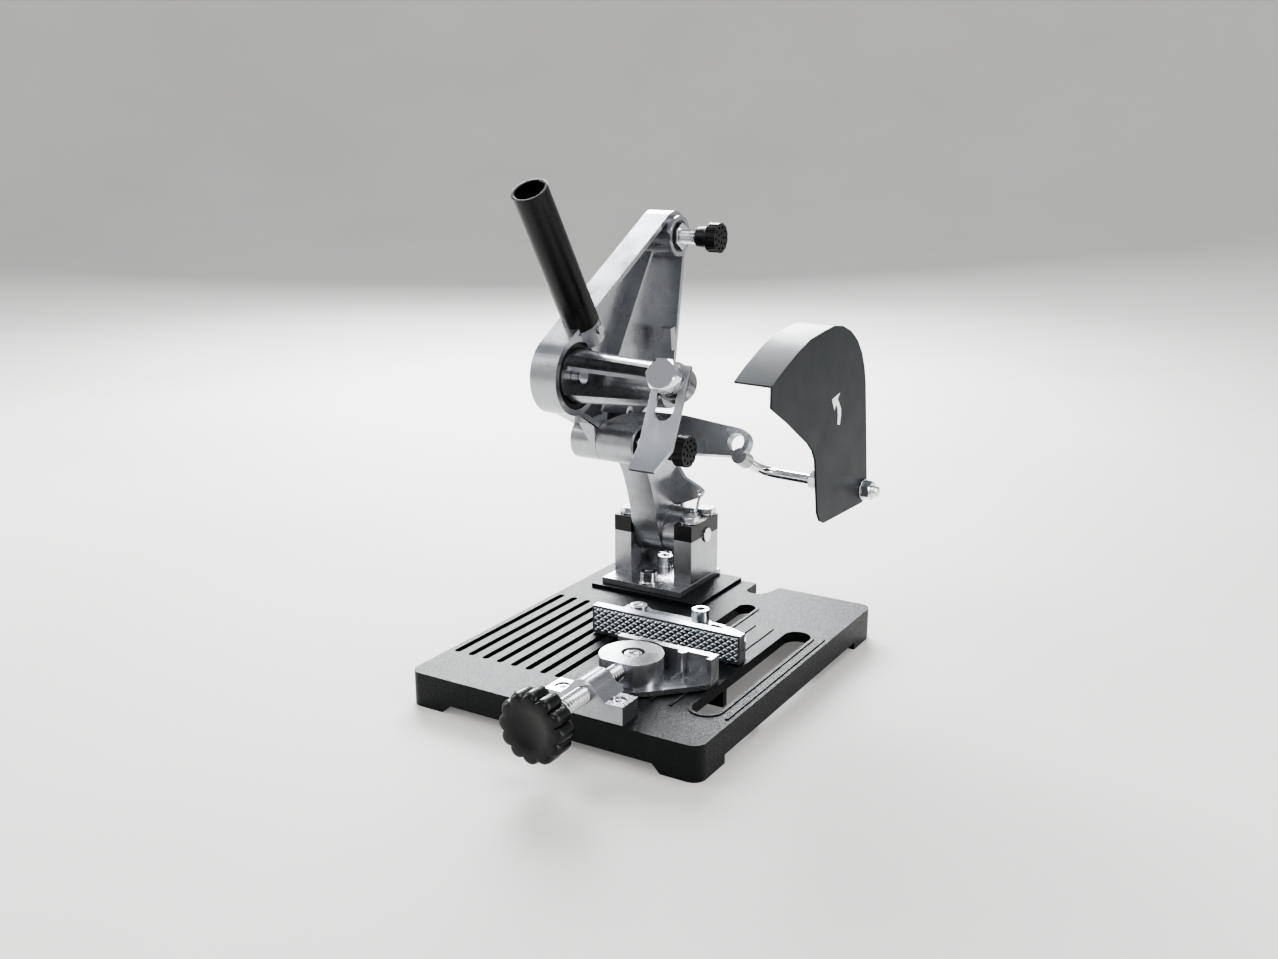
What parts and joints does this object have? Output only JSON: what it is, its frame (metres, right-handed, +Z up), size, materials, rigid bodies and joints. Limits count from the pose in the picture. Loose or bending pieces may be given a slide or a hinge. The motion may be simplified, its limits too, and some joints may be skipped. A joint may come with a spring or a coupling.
{
  "type": "angle grinder cut-off stand",
  "caption": "Bench stand that turns an angle grinder into a small abrasive chop saw: slotted base with vise and fence, spring-return swing arm, tool holder and wheel guard.",
  "frame": {"origin": "centre of the base footprint, on the surface that it stands on", "axes": "+X along the front edge of the base towards the disc slot, +Y from the vise knob to the column, +Z up"},
  "size_m": [0.2393, 0.381, 0.3558],
  "materials": {
    "black_casting": "black textured powder coat on cast iron",
    "silver_casting": "die cast, silver-painted, satin",
    "fence_casting": "die cast with a knurled face",
    "black_cap": "satin black paint",
    "zinc": "bright zinc plate",
    "plate_zinc": "zinc-plated sheet, satin",
    "bright_chrome": "bright chrome plate",
    "spring_steel": "plain steel wire and screws",
    "bronze": "sintered bronze",
    "foot_rubber": "black moulded rubber",
    "handle_black": "satin black coated tube",
    "guard_paint": "satin black powder coat",
    "knob_plastic": "black moulded plastic"
  },
  "bodies": {
    "base": {"base_plate": "black_casting", "column_bracket": "silver_casting", "left_bearing_cap": "black_cap", "right_bearing_cap": "black_cap", "cap_bolts": "zinc", "bracket_bolts": "zinc", "bracket_washers": "zinc", "pivot_pin": "zinc", "fence_pivot_screw": "zinc", "nut_block": "silver_casting", "nut_block_screws": "zinc"},
    "arm": {"swing_arm": "silver_casting", "arm_bushes": "bronze", "return_spring": "spring_steel", "arm_lock_nut": "zinc", "guard_grub_screw": "spring_steel"},
    "lower_support": {"lower_foot": "foot_rubber"},
    "lower_screw": {"lower_rod": "zinc"},
    "holder": {"holder_frame": "silver_casting", "handle_tube": "handle_black", "handle_screw": "spring_steel", "sleeve_bush": "foot_rubber", "frame_lock_nut": "zinc"},
    "upper_support": {"upper_foot": "foot_rubber"},
    "upper_screw": {"upper_rod": "zinc"},
    "sleeve": {"holder_sleeve": "silver_casting", "sleeve_bolt": "zinc", "tool_bolt": "bright_chrome", "tool_washer": "spring_steel"},
    "plate": {"support_plate": "plate_zinc"},
    "guard_arm": {"guard_rod": "bright_chrome", "guard_nuts": "zinc", "guard_washers": "zinc"},
    "guard": {"guard_shell": "guard_paint", "guard_spacer": "black_cap"},
    "fence": {"fence": "fence_casting"},
    "fence_clamp": {"fence_clamp_bolt": "zinc", "fence_clamp_washer": "zinc", "fence_clamp_nut": "zinc"},
    "jaw_carriage": {"jaw_boss": "silver_casting", "jaw_screw": "zinc"},
    "vise_screw": {"lead_screw": "zinc", "vise_knob": "knob_plastic", "knob_pin": "spring_steel"},
    "jaw": {"swivel_jaw": "silver_casting"}
  },
  "joints": [
    {"name": "arm_swing", "type": "hinge", "parent": "base", "child": "arm", "pos_m": [-0.0555, 0.116, 0.069], "axis": [1, 0, 0], "range_deg": [0, 32]},
    {"name": "lower_foot_reach", "type": "slide", "parent": "arm", "child": "lower_support", "axis": [1, 0, 0], "range_m": [-0.008, 0.01]},
    {"name": "lower_rod_spin", "type": "hinge", "parent": "lower_support", "child": "lower_screw", "pos_m": [-0.06, 0.054, 0.154], "axis": [1, 0, 0], "range_deg": [-1700, 2100]},
    {"name": "holder_tilt", "type": "hinge", "parent": "arm", "child": "holder", "pos_m": [-0.0875, 0.054, 0.154], "axis": [1, 0, 0], "range_deg": [-20, 2]},
    {"name": "upper_foot_reach", "type": "slide", "parent": "holder", "child": "upper_support", "axis": [1, 0, 0], "range_m": [-0.006, 0.012]},
    {"name": "upper_rod_spin", "type": "hinge", "parent": "upper_support", "child": "upper_screw", "pos_m": [-0.06, 0.16, 0.3035], "axis": [1, 0, 0], "range_deg": [-1300, 2500]},
    {"name": "sleeve_swivel", "type": "hinge", "parent": "holder", "child": "sleeve", "pos_m": [-0.0875, 0.016, 0.211], "axis": [1, 0, 0], "range_deg": [-40, 5]},
    {"name": "plate_slide", "type": "slide", "parent": "sleeve", "child": "plate", "axis": [0, 0.4305, 0.9026], "range_m": [0, 0.02]},
    {"name": "guard_swivel", "type": "hinge", "parent": "arm", "child": "guard_arm", "pos_m": [0.02141, 0.12993, 0.1252], "axis": [0, 0.8829, -0.4695], "range_deg": [-12, 12]},
    {"name": "guard_tilt", "type": "hinge", "parent": "guard_arm", "child": "guard", "pos_m": [0.111, 0.1213, 0.1252], "axis": [0.9954, -0.0958, 0], "range_deg": [-25, 20]},
    {"name": "fence_angle", "type": "hinge", "parent": "base", "child": "fence", "pos_m": [-0.017, 0.005, 0.032], "axis": [0, 0, 1], "range_deg": [0, 30]},
    {"name": "fence_clamp_travel", "type": "slide", "parent": "base", "child": "fence_clamp", "axis": [0, 1, 0], "range_m": [0, 0.031]},
    {"name": "vise_travel", "type": "slide", "parent": "base", "child": "jaw_carriage", "axis": [0, 1, 0], "range_m": [-0.008, 0.028]},
    {"name": "vise_screw_turn", "type": "hinge", "parent": "jaw_carriage", "child": "vise_screw", "pos_m": [0.029, -0.15, 0.04], "axis": [0, 1, 0], "range_deg": [-1000, 3400]},
    {"name": "jaw_swivel", "type": "hinge", "parent": "jaw_carriage", "child": "jaw", "pos_m": [0.029, -0.079, 0.03], "axis": [0, 0, 1], "range_deg": [-15, 30]}
  ],
  "couplings": [
    {"joint": "lower_rod_spin", "follows": "lower_foot_reach", "rad_per_m": 3590.4},
    {"joint": "upper_rod_spin", "follows": "upper_foot_reach", "rad_per_m": 3590.4},
    {"joint": "fence_clamp_travel", "follows": "fence_angle", "m_per_rad": 0.0584},
    {"joint": "vise_screw_turn", "follows": "vise_travel", "rad_per_m": 2094.4}
  ]
}
